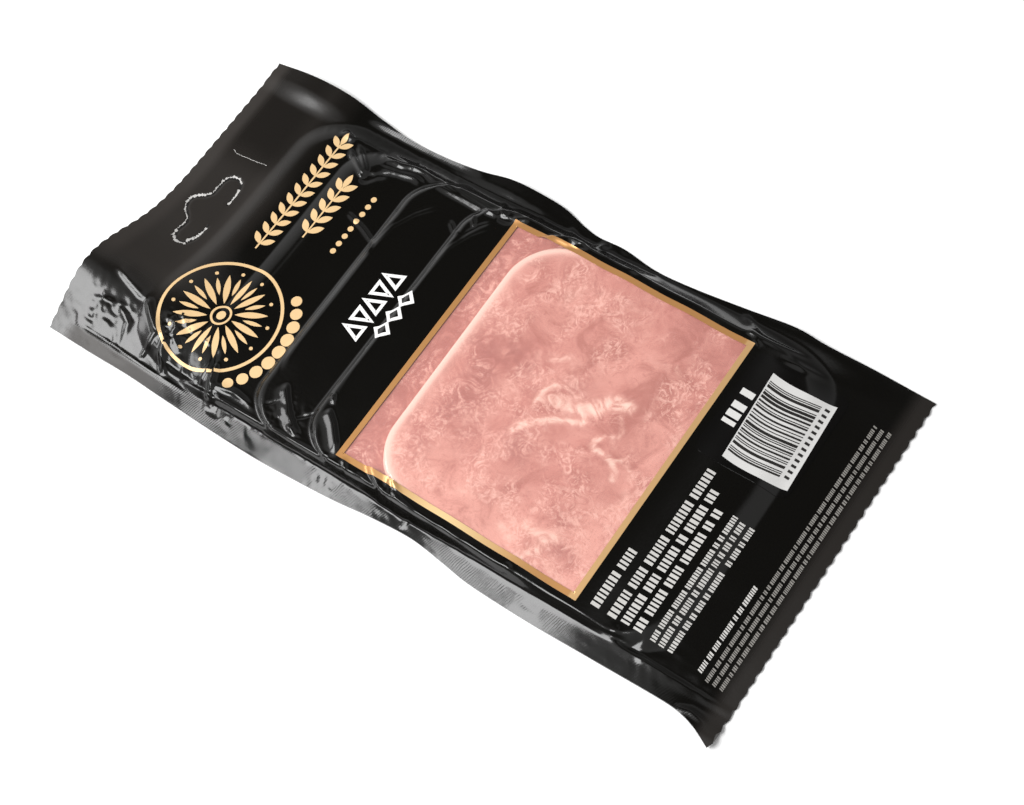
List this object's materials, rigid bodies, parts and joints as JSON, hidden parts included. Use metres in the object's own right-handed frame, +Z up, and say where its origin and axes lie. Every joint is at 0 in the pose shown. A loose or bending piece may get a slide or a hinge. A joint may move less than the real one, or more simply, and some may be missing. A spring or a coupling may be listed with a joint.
{
  "type": "pack of pizza ham",
  "caption": "Flat vacuum pack of shingled square ham slices in black film with a clear window, a hanger slot, a stuck label and one curled end.",
  "frame": {"origin": "middle of the footprint of the whole pack, on the surface it lies on", "axes": "+X from the curled hanger end to the plain end, along the pack's length; +Y across it, towards the long edge beside the label; +Z up, out of the front with the window"},
  "size_m": [0.2734, 0.1354, 0.0186],
  "materials": {
    "black_film": "printed black multilayer film, glossy",
    "clear_film": "clear glossy film",
    "ham": "moist cooked ham",
    "label": "glossy black printed sticker"
  },
  "bodies": {
    "root": {"film_back": "black_film", "film_front": "black_film", "window_film": "clear_film", "ham_slice_1": "ham", "ham_slice_2": "ham", "ham_slice_3": "ham", "ham_slice_4": "ham", "ham_slice_5": "ham", "label": "label"}
  },
  "joints": []
}
